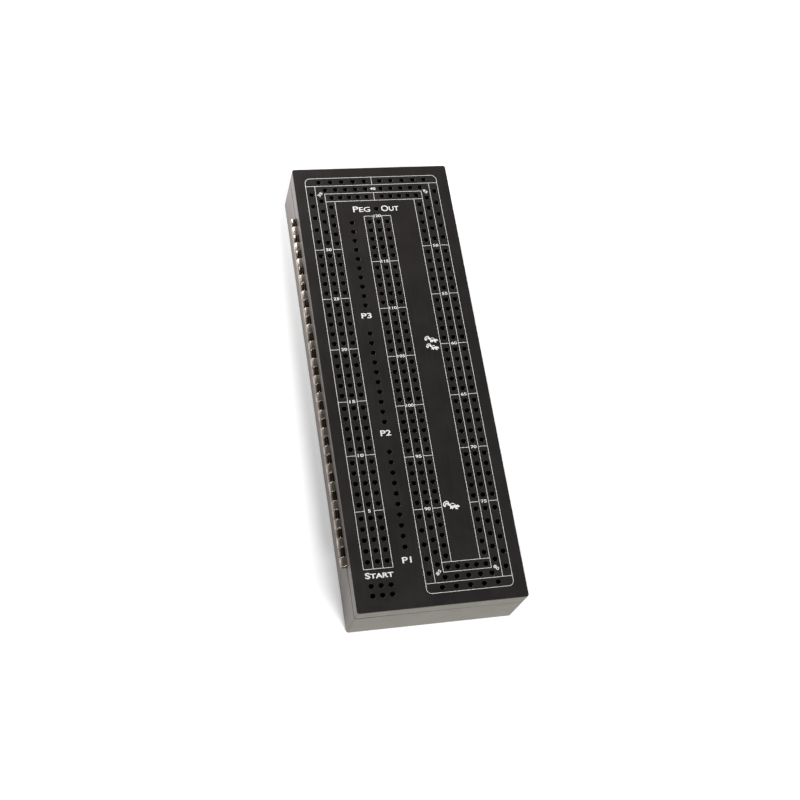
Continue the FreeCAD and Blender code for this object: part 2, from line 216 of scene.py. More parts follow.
def grain(tree, stretch, scale, detail=4.0, roughness=0.55):
    """Noise in the piece's own space, stretched by the three factors."""
    place = tree.nodes.new("ShaderNodeTexCoord")
    squeeze = tree.nodes.new("ShaderNodeMapping")
    squeeze.inputs["Scale"].default_value = stretch
    pattern = tree.nodes.new("ShaderNodeTexNoise")
    pattern.inputs["Scale"].default_value = scale
    pattern.inputs["Detail"].default_value = detail
    pattern.inputs["Roughness"].default_value = roughness
    tree.links.new(place.outputs["Object"], squeeze.inputs["Vector"])
    tree.links.new(squeeze.outputs["Vector"], pattern.inputs["Vector"])
    return pattern.outputs["Fac"]


# %% [markdown]
# Noise is a number between 0 and 1 at every point. A finish needs other numbers, such as a
# roughness from 0.38 to 0.48, a mixed colour or a height. These four helpers turn one into
# the other, so that each recipe below reads like a list of what is mixed.

# %% From noise to numbers, colours and relief
def spread_over(tree, value, low, high, start=0.3, end=0.7):
    """Turns noise into a range of values."""
    span = tree.nodes.new("ShaderNodeMapRange")
    span.inputs["From Min"].default_value = start
    span.inputs["From Max"].default_value = end
    span.inputs["To Min"].default_value = low
    span.inputs["To Max"].default_value = high
    tree.links.new(value, span.inputs["Value"])
    return span.outputs["Result"]


def add(tree, one, other):
    """The sum of two values."""
    total = tree.nodes.new("ShaderNodeMath")
    total.operation = "ADD"
    tree.links.new(one, total.inputs[0])
    tree.links.new(other, total.inputs[1])
    return total.outputs[0]


def tint(tree, value, dark, light):
    """Mixes two colours by a value."""
    mix = tree.nodes.new("ShaderNodeMix")
    mix.data_type = "RGBA"
    mix.inputs["A"].default_value = (*dark, 1)
    mix.inputs["B"].default_value = (*light, 1)
    tree.links.new(value, mix.inputs["Factor"])
    return mix.outputs["Result"]


def relief(tree, value, depth):
    """Bump from a value, with its depth in millimetres."""
    bump = tree.nodes.new("ShaderNodeBump")
    bump.inputs["Strength"].default_value = 1.0
    bump.inputs["Distance"].default_value = depth * MM
    tree.links.new(value, bump.inputs["Height"])
    return bump.outputs["Normal"]


# %% [markdown]
# ## Black lacquer
# The wood is sprayed satin black. Under the lacquer its grain still lifts the film by a few
# hundredths of a millimetre, along the length of each board. The same recipe therefore takes
# the direction of the grain, and each wall uses the one that runs along it. Under the coat the
# black is nearly even, so the roughness and the relief carry most of what one sees. The paint
# is the same on every wall. Even so, the long sides get a pinkish coat tint and the ends get a
# yellowish tint under a stronger coat. This is painted reflection, standing in for what each pair
# of walls mirrors.

# %% Lacquer
DEEP_BLACK = (0.0066, 0.0048, 0.0048)
SOFT_BLACK = (0.0096, 0.0072, 0.0070)
ALONG_GRAIN = 0.03


def lacquer(name, along, reflection_tint=(1.0, 1.0, 1.0), haze=0.25, depth=0.012):
    """Satin black lacquer over wood whose grain runs along one axis, with a painted reflection
    tint.
    """
    finish, tree, shader = new_finish(name)
    fine = [1.0, 1.0, 1.0]
    fine["xyz".index(along)] = ALONG_GRAIN
    lines = grain(tree, fine, 1400)
    patches = grain(tree, ALL_WAYS, 60, detail=3)
    tree.links.new(
        tint(tree, spread_over(tree, patches, 0, 1), DEEP_BLACK, SOFT_BLACK),
        shader.inputs["Base Color"],
    )
    tree.links.new(
        add(
            tree,
            spread_over(tree, lines, 0.38, 0.48),
            spread_over(tree, patches, -0.03, 0.05),
        ),
        shader.inputs["Roughness"],
    )
    tree.links.new(relief(tree, lines, depth), shader.inputs["Normal"])
    shader.inputs["Coat Weight"].default_value = haze
    shader.inputs["Coat Roughness"].default_value = 0.4
    shader.inputs["Coat Tint"].default_value = (*reflection_tint, 1)
    shader.inputs["Sheen Weight"].default_value = 0.17
    shader.inputs["Sheen Roughness"].default_value = 0.5
    shader.inputs["Sheen Tint"].default_value = (1.0, 0.90, 0.80, 1)
    return finish


board_lacquer = lacquer("board_lacquer", "y")
# painted reflection: the long walls get a pinkish coat tint, the ends a yellowish one under a
# stronger coat
side_lacquer_painted_reflection = lacquer("case_lacquer_lengthwise_painted_reflection", "y", (1.0, 0.86, 0.88), depth=0.03)
end_lacquer_painted_reflection = lacquer("case_lacquer_crosswise_painted_reflection", "x", (1.0, 1.0, 0.70), haze=0.42, depth=0.03)
print("lacquers", board_lacquer.name, side_lacquer_painted_reflection.name, end_lacquer_painted_reflection.name)

# %% [markdown]
# ## Bores and ink
# A drilled hole is bare stained wood that hardly shines, so it gets a rough black of its own,
# darker and duller than such wood. This is painted shade that keeps the bores black.
# The print is a flat off-white ink, slightly mottled, as a screen leaves it. Plain colours
# would do from afar, but up close the noise keeps both from looking like plastic.

# %% Bore black and ink
# painted shade: an almost perfect black with hardly any shine, so the bore walls return almost no
# light
bare_bore_and_painted_shade, tree, shader = new_finish("bare_bore_and_painted_shade")
tree.links.new(
    tint(tree, grain(tree, ALL_WAYS, 900), (0.001, 0.001, 0.001), (0.005, 0.004, 0.004)),
    shader.inputs["Base Color"],
)
shader.inputs["Roughness"].default_value = 0.9
shader.inputs["Specular IOR Level"].default_value = 0.05

ink, tree, shader = new_finish("white_ink")
mottle = spread_over(tree, grain(tree, ALL_WAYS, 2500), 0, 1)
tree.links.new(
    tint(tree, mottle, (0.80, 0.79, 0.77), (0.90, 0.89, 0.87)), shader.inputs["Base Color"]
)
tree.links.new(
    spread_over(tree, grain(tree, ALL_WAYS, 1200), 0.45, 0.7), shader.inputs["Roughness"]
)
print("finishes", bare_bore_and_painted_shade.name, "and", ink.name)

# %% [markdown]
# ## Plated metal
# The strip for a hinge is rolled, bent and plated, which leaves fine lines along it and a few
# duller patches. One recipe serves all the metal. Both leaves are the same plating. The board's
# leaf is brushed and painted pale, as if lit, and the leaf of the base is polished and painted
# dark, as if in shade. That painted light and shade makes the knuckles read.

# %% Metal
def metal(name, dark, light, smooth, dull, scale=1500, stretch=(1, 0.12, 1)):
    """Plated metal with fine lines and a few duller patches."""
    finish, tree, shader = new_finish(name)
    lines = grain(tree, stretch, scale)
    patches = grain(tree, ALL_WAYS, 220, detail=5)
    tree.links.new(
        tint(tree, spread_over(tree, patches, 0, 1), dark, light), shader.inputs["Base Color"]
    )
    tree.links.new(
        add(
            tree,
            spread_over(tree, lines, smooth, dull),
            spread_over(tree, patches, 0.06, -0.04),
        ),
        shader.inputs["Roughness"],
    )
    tree.links.new(relief(tree, lines, 0.006), shader.inputs["Normal"])
    shader.inputs["Metallic"].default_value = 1.0
    return finish


# painted light and shade: one plating, pale on the board's leaf and dark on the base's leaf and
# the pin
board_nickel_painted_lit = metal("hinge_nickel_brushed_painted_lit", (0.27, 0.23, 0.19), (0.54, 0.475, 0.41), 0.30, 0.42)
base_nickel_painted_shade = metal("hinge_nickel_polished_painted_shade", (0.13, 0.11, 0.09), (0.35, 0.305, 0.26), 0.08, 0.18)
screw_steel = metal(
    "screw_nickel", (0.50, 0.46, 0.40), (0.76, 0.73, 0.68), 0.22, 0.34, 900, ALL_WAYS
)
magnet_plate = metal(
    "magnet_plating", (0.62, 0.62, 0.64), (0.80, 0.80, 0.82), 0.12, 0.22, 700, ALL_WAYS
)
print("metals", board_nickel_painted_lit.name, base_nickel_painted_shade.name, screw_steel.name, magnet_plate.name)

# %% [markdown]
# ## Felt and pegs
# Felt is a mat of short fibres: a fine noise gives it both its flecks and its nap, and a
# sheen makes it paler where one looks along it. The pegs are moulded in three colours of
# glossy plastic, which shows faint marks along the way it flowed.

# %% Felt and peg plastic
felt, tree, shader = new_finish("grey_felt")
fibres = grain(tree, ALL_WAYS, 2600, detail=6, roughness=0.75)
tree.links.new(
    tint(tree, spread_over(tree, fibres, 0, 1), (0.030, 0.030, 0.034), (0.085, 0.085, 0.092)),
    shader.inputs["Base Color"],
)
tree.links.new(relief(tree, fibres, 0.25), shader.inputs["Normal"])
shader.inputs["Roughness"].default_value = 0.95
shader.inputs["Sheen Weight"].default_value = 0.35


def peg_plastic(name, deep, bright):
    """Glossy coloured plastic with faint flow marks."""
    finish, tree, shader = new_finish(name)
    flow = grain(tree, (1, 1, 0.2), 500)
    tree.links.new(tint(tree, flow, deep, bright), shader.inputs["Base Color"])
    tree.links.new(spread_over(tree, flow, 0.18, 0.3), shader.inputs["Roughness"])
    tree.links.new(relief(tree, flow, 0.01), shader.inputs["Normal"])
    return finish


peg_finishes = {
    "red": peg_plastic("peg_red", (0.42, 0.012, 0.012), (0.62, 0.03, 0.025)),
    "white": peg_plastic("peg_white", (0.72, 0.71, 0.66), (0.82, 0.81, 0.77)),
    "blue": peg_plastic("peg_blue", (0.012, 0.05, 0.36), (0.03, 0.09, 0.50)),
}
print("finishes", len(bpy.data.materials))

# %% [markdown]
# ## A way to build solids
# The drilled board could be cut with hundreds of boolean cylinders, which is slow and leaves
# ragged faces. It is cleaner to lay out the loops of corners and join them: a loop for the
# outline, a loop for each bore, bands of four-sided faces between loops, and one fill for the
# face with all its holes. A blank collects those corners and faces in millimetres.

# %% The blank
class Blank:
    """A piece in the making: its corners in millimetres and the faces between them."""

    def __init__(self):
        self.corners = []
        self.faces = []
        self.finishes = []

    def loop(self, corners):
        """Adds corners and gives their numbers."""
        first = len(self.corners)
        self.corners.extend(Vector(corner) for corner in corners)
        return list(range(first, len(self.corners)))

    def slide(self, x):
        """Moves everything made so far along X."""
        for corner in self.corners:
            corner.x += x

    def face(self, numbers, finish=0):
        """Adds one face and the number of the finish it wears."""
        self.faces.append(tuple(numbers))
        self.finishes.append(finish)

    def band(self, one, other, finish=0, closed=True, skip=()):
        """Joins two rows of corners with four-sided faces."""
        for i in range(len(one) if closed else len(one) - 1):
            if i not in skip:
                j = (i + 1) % len(one)
                self.face((one[i], one[j], other[j], other[i]), finish)

    def fill(self, outer, holes=()):
        """Fills a flat loop and leaves the holes open."""
        loops = [outer, *holes]
        numbers = [n for loop in loops for n in loop]
        for corners in tessellate_polygon([[self.corners[n] for n in loop] for loop in loops]):
            self.face([numbers[k] for k in corners])


# %% [markdown]
# A blank becomes a piece in one step, always the same: its faces are turned outward, shaded
# smooth except where they meet at a clear angle, and given to a body of the frame, so that
# the piece moves with the lid or stays with the base. A piece that is finer than its solid in
# the construction model hides that solid.

# %% From blank to piece
CREASE = 35


def make_piece(name, blank, finishes, body, stands_for=()):
    """Turns a blank into an object that rides on a body of the frame."""
    mesh = bpy.data.meshes.new(name)
    mesh.from_pydata([corner * MM for corner in blank.corners], [], blank.faces)
    mesh.polygons.foreach_set("material_index", blank.finishes)
    for finish in finishes:
        mesh.materials.append(finish)
    shape = bmesh.new()
    shape.from_mesh(mesh)
    bmesh.ops.recalc_face_normals(shape, faces=shape.faces)
    shape.to_mesh(mesh)
    shape.free()
    mesh.polygons.foreach_set("use_smooth", [True] * len(mesh.polygons))
    mesh.set_sharp_from_angle(angle=math.radians(CREASE))
    piece = bpy.data.objects.new(name, mesh)
    scene.collection.objects.link(piece)
    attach(piece, body)
    if stands_for:
        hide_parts(*stands_for)
    print(name, len(mesh.polygons), "faces on", body)
    return piece


# %% [markdown]
# ## Round shapes
# Holes, pegs, screws and magnets are all turned or drilled, so a circle of corners at some
# height is the one shape they need. Blender's own cylinder has the same corners, but a bore
# must leave its mouth open for the face around it, which a finished cylinder can't do.

# %% Turned and drilled shapes
BORE_SIDES = 24
BORE_EASE = 0.1
DRILL_TIP = 0.5


def circle(x, y, z, radius, count=BORE_SIDES):
    """Corners round an upright axis."""
    turn = 2 * math.pi / count
    return [
        (x + radius * math.cos(turn * i), y + radius * math.sin(turn * i), z)
        for i in range(count)
    ]


def turned(blank, x, y, profile, count):
    """A solid turned about an upright axis: profile is (radius, height) from end to end."""
    rings = [blank.loop(circle(x, y, z, radius, count)) for radius, z in profile]
    for one, other in zip(rings, rings[1:]):
        blank.band(one, other)
    blank.face(rings[0])
    blank.face(rings[-1])


def bore(blank, x, y, mouth_z, end_z, radius, finish=0, tip=0.0):
    """A round blind hole. It gives its mouth, for the face around it to leave open."""
    inward = 1 if end_z > mouth_z else -1
    mouth = blank.loop(circle(x, y, mouth_z, radius + BORE_EASE))
    rim = blank.loop(circle(x, y, mouth_z + inward * BORE_EASE, radius))
    end = blank.loop(circle(x, y, end_z, radius))
    point = blank.loop([(x, y, end_z + inward * tip)])[0]
    blank.band(mouth, rim)
    blank.band(rim, end, finish)
    for i in range(BORE_SIDES):
        blank.face((end[i], end[(i + 1) % BORE_SIDES], point), finish)
    return mouth


# %% [markdown]
# ## The drilled board
# The lid is one thick board: its top is the playing face with 397 blind holes, its underside
# has a step for the hinge leaf and two pockets for magnets. The construction model draws its
# small holes with six flats. Their centres are read from it, so the round bores made here sit
# exactly where the real drill went.

# %% Sizes of the board
HALF_WIDTH = 52.0
HALF_LENGTH = 150.0
TOP_Z = 42.0
SEAM_Z = 31.0
SEAM_GAP = 0.3
SEAM_RISE = 0.6
INK_DEPTH = 0.02
FACE_Z = TOP_Z - INK_DEPTH
CORNER_RADIUS = 1.6
EDGE_EASE = 0.15
HOLE_RADIUS = 1.6
HOLE_END_Z = 35.0
PEG_OUT_END_Z = 34.0
HINGE_STEP_HALF = 118.7
HINGE_STEP_X = -43.5
HINGE_STEP_Z = 33.36


def underside(x):
    """Height of the board's underside, a little higher at the hinge."""
    return SEAM_Z + SEAM_GAP + SEAM_RISE * (HALF_WIDTH - x) / (2 * HALF_WIDTH)


print("board", TOP_Z - SEAM_Z, "mm thick over the seam")

# %% [markdown]
# In the construction model the bottom of a hole is a small ring of corners, closer together
# than the corners of neighbouring holes. Walking from corner to corner in short steps
# therefore stays in one hole. The places could be written out instead, but read from the
# model they are right even if someone moves a row.

# %% Find the drilled holes
CORNER_STEP = 2.0
SAME_HEIGHT = 0.005


def drilled_places(node, end_z):
    """Middles of the holes in a CAD node that end at one height."""
    points = [v.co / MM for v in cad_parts[node].data.vertices]
    corners = sorted(
        {(round(p.x, 2), round(p.y, 2)) for p in points if abs(p.z - end_z) < SAME_HEIGHT}
    )
    tree = kdtree.KDTree(len(corners))
    for n, corner in enumerate(corners):
        tree.insert((*corner, 0), n)
    tree.balance()
    places, seen = [], set()
    for start in range(len(corners)):
        if start in seen:
            continue
        seen.add(start)
        hole = [start]
        for n in hole:
            for _, other, _ in tree.find_range((*corners[n], 0), CORNER_STEP):
                if other not in seen:
                    seen.add(other)
                    hole.append(other)
        xs, ys = zip(*(corners[n] for n in hole))
        places.append(((min(xs) + max(xs)) / 2, (min(ys) + max(ys)) / 2))
    return places


hole_places = drilled_places("lid_board", HOLE_END_Z)
peg_out_places = drilled_places("lid_board", PEG_OUT_END_Z)
print("holes", len(hole_places), "and to peg out", len(peg_out_places))

# %% [markdown]
# ## The board's outline
# Seen from above, the board is a rectangle with small rounded corners. Each rounding has one
# more point at either end, a little way along the straight, so that the flat side keeps its
# own shading. Two stops on the hinge side mark where the step for the hinge leaf ends.

# %% Outline of the board
ROUNDING_STEPS = 8
LEAD = 0.5
STOPS = (HINGE_STEP_HALF, -HINGE_STEP_HALF)


def rounded_outline(half_x, half_y, radius, z):
    """Corners round a rectangle with rounded corners, counterclockwise from above."""
    points = []
    for quarter, (side_x, side_y) in enumerate(((1, -1), (1, 1), (-1, 1), (-1, -1))):
        centre = Vector((side_x * (half_x - radius), side_y * (half_y - radius)))
        for step in range(-1, ROUNDING_STEPS + 2):
            share = min(max(step, 0), ROUNDING_STEPS) / ROUNDING_STEPS
            angle = math.radians(90 * (quarter - 1 + share))
            out = Vector((math.cos(angle), math.sin(angle)))
            ahead = Vector((-out.y, out.x))
            past = LEAD if step > ROUNDING_STEPS else -LEAD if step < 0 else 0
            points.append(centre + radius * out + past * ahead)
        if quarter == 2:
            points += [Vector((-half_x, y)) for y in STOPS]
    return [(point.x, point.y, z) for point in points]


board = Blank()


def board_ring(inset, z):
    """One outline of the board at some height, drawn in by the inset."""
    return board.loop(
        rounded_outline(HALF_WIDTH - inset, HALF_LENGTH - inset, CORNER_RADIUS - inset, z)
    )


# %% [markdown]
# The sides are bands between such outlines. The lowest one follows the sloping underside and
# leaves a gap for the hinge, and the last few climb round the eased top edge. An outline just
# before and one just after the easing keep the flats beside it flat. The sides wear the same
# finishes as the sides of the case under them.

# %% Sides of the board
SAME_PLACE = 0.01
EASE_STEPS = 4
BELOW_EASE = 0.5
INSIDE_EASE = 0.4
BORE_FINISH, SIDE_FINISH, END_FINISH = 1, 2, 3
lower = board_ring(0, SEAM_Z)
for n in lower:
    board.corners[n].z = underside(board.corners[n].x)
step_ring = board_ring(0, HINGE_STEP_Z)
step_back = next(
    i for i, n in enumerate(lower) if abs(board.corners[n].y - HINGE_STEP_HALF) < SAME_PLACE
)
step_front = step_back + 1
board.band(lower, step_ring, skip=(step_back,))
rings = [step_ring, board_ring(0, FACE_Z - EDGE_EASE - BELOW_EASE)]
for step in range(EASE_STEPS + 1):
    angle = math.radians(90 * step / EASE_STEPS)
    rings.append(
        board_ring(
            EDGE_EASE * (1 - math.cos(angle)), FACE_Z - EDGE_EASE + EDGE_EASE * math.sin(angle)
        )
    )
rings.append(board_ring(EDGE_EASE + INSIDE_EASE, FACE_Z))
for one, other in zip(rings, rings[1:]):
    board.band(one, other)
for n, face in enumerate(board.faces):
    middle = sum((board.corners[k] for k in face), Vector((0, 0, 0))) / len(face)
    if middle.z < FACE_Z - EDGE_EASE:
        lengthwise = HALF_WIDTH - abs(middle.x) < HALF_LENGTH - abs(middle.y)
        board.finishes[n] = SIDE_FINISH if lengthwise else END_FINISH
print("sides of the board", len(board.faces), "faces")

# %% [markdown]
# Now the drill comes down on the playing face: each bore has a hair of a chamfer at its mouth
# and the shallow cone of a drill at its end. The face is then filled in one go, from the
# eased edge inward, around all the mouths.

# %% Playing face and its bores
mouths = [
    bore(board, x, y, FACE_Z, end_z, HOLE_RADIUS, BORE_FINISH, DRILL_TIP)
    for places, end_z in ((hole_places, HOLE_END_Z), (peg_out_places, PEG_OUT_END_Z))
    for x, y in places
]
board.fill(rings[-1], mouths)
print("bores", len(mouths))

# %% [markdown]
# The underside is seen when the lid is open. A step along the hinge side takes the hinge leaf
# and has pilot holes for its screws, and two shallow pockets near the free side take magnets.
# A modifier could cut them, but the same bores and fills keep every face clean.

# %% Step for the hinge leaf
SCREW_X = -46.7
SCREW_YS = (-102.4, -51.2, 0.0, 51.2, 102.4)
PILOT_RADIUS = 1.05
PILOT_END_Z = 39.46
ceiling, foot = (
    board.loop([(HINGE_STEP_X, -HINGE_STEP_HALF, z), (HINGE_STEP_X, HINGE_STEP_HALF, z)])
    for z in (HINGE_STEP_Z, underside(HINGE_STEP_X))
)
pilots = [bore(board, SCREW_X, y, HINGE_STEP_Z, PILOT_END_Z, PILOT_RADIUS) for y in SCREW_YS]
board.fill([step_ring[step_back], step_ring[step_front], ceiling[0], ceiling[1]], pilots)
board.face((step_ring[step_back], ceiling[1], foot[1], lower[step_back]))
board.face((step_ring[step_front], ceiling[0], foot[0], lower[step_front]))
board.face((ceiling[0], ceiling[1], foot[1], foot[0]))
print("pilot holes", len(pilots))

# %% Magnet pockets and the finished board
MAGNET_X = 47.0
MAGNET_YS = (-75.0, 75.0)
MAGNET_RADIUS = 3.0
MAGNET_THICKNESS = 3.0
POCKET_PLAY = 0.05
lid_magnet_z = underside(MAGNET_X + MAGNET_RADIUS)
pockets = [
    bore(board, MAGNET_X, y, SEAM_Z, lid_magnet_z + MAGNET_THICKNESS, MAGNET_RADIUS + POCKET_PLAY)
    for y in MAGNET_YS
]
for pocket in pockets:
    for n in pocket:
        board.corners[n].z = underside(board.corners[n].x)
        board.corners[n + BORE_SIDES].z = underside(board.corners[n].x) + BORE_EASE
board.fill(lower[: step_back + 1] + [foot[1], foot[0]] + lower[step_front:], pockets)
board_finishes = [board_lacquer, bare_bore_and_painted_shade, side_lacquer_painted_reflection, end_lacquer_painted_reflection]
make_piece("playing_board", board, board_finishes, "lid", ["lid_board"])

# %% [markdown]
# ## Printed lines
# Four lines edge the three lanes, and short ticks close every fifth hole. The print is a film
# of white ink about two hundredths of a millimetre thick. A texture could carry it, but real
# strips stay sharp at any distance, so each line is a thin flat ribbon with mitred corners.
# Where one line ends on another it stops at that line's edge, so no two strips share a face.
# Printing and drilling are separate jobs, so the whole print may sit a hair off the holes.

# %% Ribbons of ink
INK_WIDTH = 0.28
INK_SINK = 0.01
PRINT_SHIFT = -0.2


def ribbon(blank, path, width=INK_WIDTH, closed=False):
    """A flat printed strip along a path of (x, y) points."""
    path = [Vector(point) for point in path]
    rows = ([], [], [], [])
    for i, point in enumerate(path):
        legs = []
        if closed or i > 0:
            legs.append((point - path[i - 1]).normalized())
        if closed or i < len(path) - 1:
            legs.append((path[(i + 1) % len(path)] - point).normalized())
        along = sum(legs, Vector((0, 0))).normalized()
        side = Vector((-along.y, along.x)) * (width / 2) / along.dot(legs[0])
        for row, edge, z in zip(
            rows,
            (point + side, point - side, point - side, point + side),
            (TOP_Z, TOP_Z, FACE_Z - INK_SINK, FACE_Z - INK_SINK),
        ):
            row.append((edge.x, edge.y, z))
    rows = [blank.loop(row) for row in rows]
    for one, other in zip(rows, rows[1:] + rows[:1]):
        blank.band(one, other, closed=closed)
    if not closed:
        blank.face([row[0] for row in rows])
        blank.face([row[-1] for row in rows])


def bend(centre_x, centre_y, radius, start, end, steps=6):
    """Points on an arc between two angles in degrees."""
    return [
        (
            centre_x + radius * math.cos(math.radians(start + (end - start) * i / steps)),
            centre_y + radius * math.sin(math.radians(start + (end - start) * i / steps)),
        )
        for i in range(steps + 1)
    ]


# %% [markdown]
# ## The three lanes
# The lanes run up one side, across the top, down the other side and back up the middle. The
# four lines of a column lie at equal steps from its middle, so one list of places serves both
# sides. Only the outermost line has rounded corners.

# %% Places of the lanes
COLUMN_X = 35.5
LANE = 5.92
HALF_INK = INK_WIDTH / 2
SIDE_LINES = [COLUMN_X + (1.5 - i) * LANE for i in range(4)]
HOME_LINES = [(i - 1.5) * LANE for i in range(4)]
TOP_LINES = (142.7, 136.8, 130.8, 124.9)
BOTTOM_LINES = (-142.3, -136.25, -130.2, -124.2)
START_LINE = -124.15
SIDE_GROUP, HOME_GROUP = 35.56, 33.88
SIDE_TICKS = [-88.54 + SIDE_GROUP * i for i in range(6)]
HOME_TICKS = [-90.25 + HOME_GROUP * i for i in range(6)]
FINISH_LINE = 113.03
TOP_BEND = 3.5
BOTTOM_BEND = 3.0
print("side lines at", [round(x, 2) for x in SIDE_LINES])

# %% First and second line
lanes = Blank()
far = SIDE_LINES
home = HOME_LINES
# the first line goes all the way round, from the start box to the last hole
ribbon(
    lanes,
    [(-far[3] + HALF_INK, START_LINE), (-far[0], START_LINE)]
    + bend(-far[0] + TOP_BEND, TOP_LINES[0] - TOP_BEND, TOP_BEND, 180, 90)
    + bend(far[0] - TOP_BEND, TOP_LINES[0] - TOP_BEND, TOP_BEND, 90, 0)
    + bend(far[0] - BOTTOM_BEND, BOTTOM_LINES[0] + BOTTOM_BEND, BOTTOM_BEND, 0, -90)
    + bend(home[0] + BOTTOM_BEND, BOTTOM_LINES[0] + BOTTOM_BEND, BOTTOM_BEND, -90, -180)
    + [(home[0], FINISH_LINE), (home[1] + HALF_INK, FINISH_LINE)],
)
# the second line's cross runs reach the first line, and its uprights stop under them
for y, left in ((TOP_LINES[1], -far[0]), (BOTTOM_LINES[1], home[0])):
    ribbon(lanes, [(left + HALF_INK, y), (far[0] - HALF_INK, y)])
for x, low, high in (
    (-far[1], START_LINE, TOP_LINES[1]),
    (far[1], BOTTOM_LINES[1], TOP_LINES[1]),
    (home[1], BOTTOM_LINES[1], FINISH_LINE),
):
    ribbon(lanes, [(x, low + HALF_INK), (x, high - HALF_INK)])
print("faces in two lines", len(lanes.faces))

# %% Third and fourth line
# the third line turns square corners
ribbon(
    lanes,
    [
        (-far[2], START_LINE + HALF_INK),
        (-far[2], TOP_LINES[2]),
        (far[2], TOP_LINES[2]),
        (far[2], BOTTOM_LINES[2]),
        (home[2], BOTTOM_LINES[2]),
        (home[2], FINISH_LINE - HALF_INK),
    ],
)
# the fourth line closes the innermost lane
for y, left in ((TOP_LINES[3], -far[2]), (BOTTOM_LINES[3], home[2])):
    ribbon(lanes, [(left + HALF_INK, y), (far[2] - HALF_INK, y)])
for x, low, high in (
    (-far[3], START_LINE, TOP_LINES[3]),
    (far[3], BOTTOM_LINES[3], TOP_LINES[3]),
):
    ribbon(lanes, [(x, low + HALF_INK), (x, high - HALF_INK)])
ribbon(
    lanes,
    [
        (home[3], BOTTOM_LINES[3] + HALF_INK),
        (home[3], FINISH_LINE),
        (home[2] - HALF_INK, FINISH_LINE),
    ],
)

# %% [markdown]
# A tick closes every fifth hole. It is printed across the two outer lanes only, because the
# middle lane carries the number there.

# %% Ticks after every fifth hole
for y in SIDE_TICKS:
    for side in (-1, 1):
        for start, end in ((far[0], far[1]), (far[2], far[3])):
            ribbon(lanes, [(side * (start - HALF_INK), y), (side * (end + HALF_INK), y)])
for y in HOME_TICKS:
    for start, end in ((home[0], home[1]), (home[2], home[3])):
        ribbon(lanes, [(start + HALF_INK, y), (end - HALF_INK, y)])
for start, end in (TOP_LINES[:2], TOP_LINES[2:]):
    ribbon(lanes, [(0, start - HALF_INK), (0, end + HALF_INK)])
lanes.slide(PRINT_SHIFT)
make_piece("lane_lines", lanes, [ink], "lid")

# %% [markdown]
# ## Numbers and words
# The middle lane carries a small number at each tick, and a few plain words tell the players
# where to begin and end. Blender's own font is enough: each word becomes a mesh, is measured,
# and is scaled to the width and height that the print has, so the letters stay solid ink.

# %% Lettering
LETTER_DEPTH = 0.5
SAME_CORNER = 1e-5


def lettering(blank, words, x, y, cap_height, width, turn=0, small_caps=0.0, weight=0.0):
    """Prints words centred on a place, with their height and width in millimetres."""
    text = bpy.data.curves.new("lettering", "FONT")
    text.body = words
    text.extrude = LETTER_DEPTH
    text.offset = weight
    if small_caps:
        text.small_caps_scale = small_caps
        for letter in text.body_format[1:]:
            letter.use_small_caps = True
    holder = bpy.data.objects.new("lettering", text)
    scene.collection.objects.link(holder)
    bpy.context.view_layer.update()
    mesh = bpy.data.meshes.new_from_object(
        holder.evaluated_get(bpy.context.evaluated_depsgraph_get())
    )
    shape = bmesh.new()
    shape.from_mesh(mesh)
    bmesh.ops.remove_doubles(shape, verts=shape.verts, dist=SAME_CORNER)
    shape.to_mesh(mesh)
    shape.free()
    low = Vector(min(v.co[i] for v in mesh.vertices) for i in range(3))
    high = Vector(max(v.co[i] for v in mesh.vertices) for i in range(3))
    size, middle = high - low, (high + low) / 2
    spin = Matrix.Rotation(math.radians(turn), 2)
    corners = []
    for vertex in mesh.vertices:
        flat = Vector(
            (
                (vertex.co.x - middle.x) / size.x * width,
                (vertex.co.y - middle.y) / size.y * cap_height,
            )
        )
        flat = spin @ flat
        corners.append((x + flat.x, y + flat.y, TOP_Z if vertex.co.z > 0 else FACE_Z - INK_SINK))
    numbers = blank.loop(corners)
    for polygon in mesh.polygons:
        blank.face([numbers[n] for n in polygon.vertices])
    bpy.data.objects.remove(holder)
    bpy.data.meshes.remove(mesh)
    bpy.data.curves.remove(text)


# %% [markdown]
# The numbers go up in fives, so loops can print them all along the ticks. Only the four at
# the corners stand alone, turned to face the bend. How wide a number is depends only on how
# many digits it has.

# %% Numbers
NUMBER_HEIGHT = 2.0
NUMBER_WIDTHS = {1: 1.7, 2: 3.75, 3: 4.8}


def number(blank, value, x, y, turn=0):
    """Prints one number centred on a place."""
    words = str(value)
    lettering(blank, words, x, y, NUMBER_HEIGHT, NUMBER_WIDTHS[len(words)], turn, weight=0.02)


numbers = Blank()
for i, y in enumerate(SIDE_TICKS):
    number(numbers, 5 + 5 * i, -COLUMN_X, y)
    number(numbers, 75 - 5 * i, COLUMN_X, y)
for i, y in enumerate([*HOME_TICKS, FINISH_LINE]):
    number(numbers, 90 + 5 * i, 0, y)
number(numbers, 40, 0, (TOP_LINES[1] + TOP_LINES[2]) / 2)
for value, x, y, turn in (
    (35, -35.6, 130.6, 47),
    (45, 35.2, 130.6, -47),
    (80, 35.5, -130.4, -45),
    (85, 0.0, -130.1, 45),
):
    number(numbers, value, x, y, turn)
numbers.slide(PRINT_SHIFT)
make_piece("lane_numbers", numbers, [ink], "lid")

# %% [markdown]
# The words are set in small capitals: the first letter is a full capital and the others are
# capitals at four fifths of its height. Three labels name the players' columns of game
# counters, between the lanes.

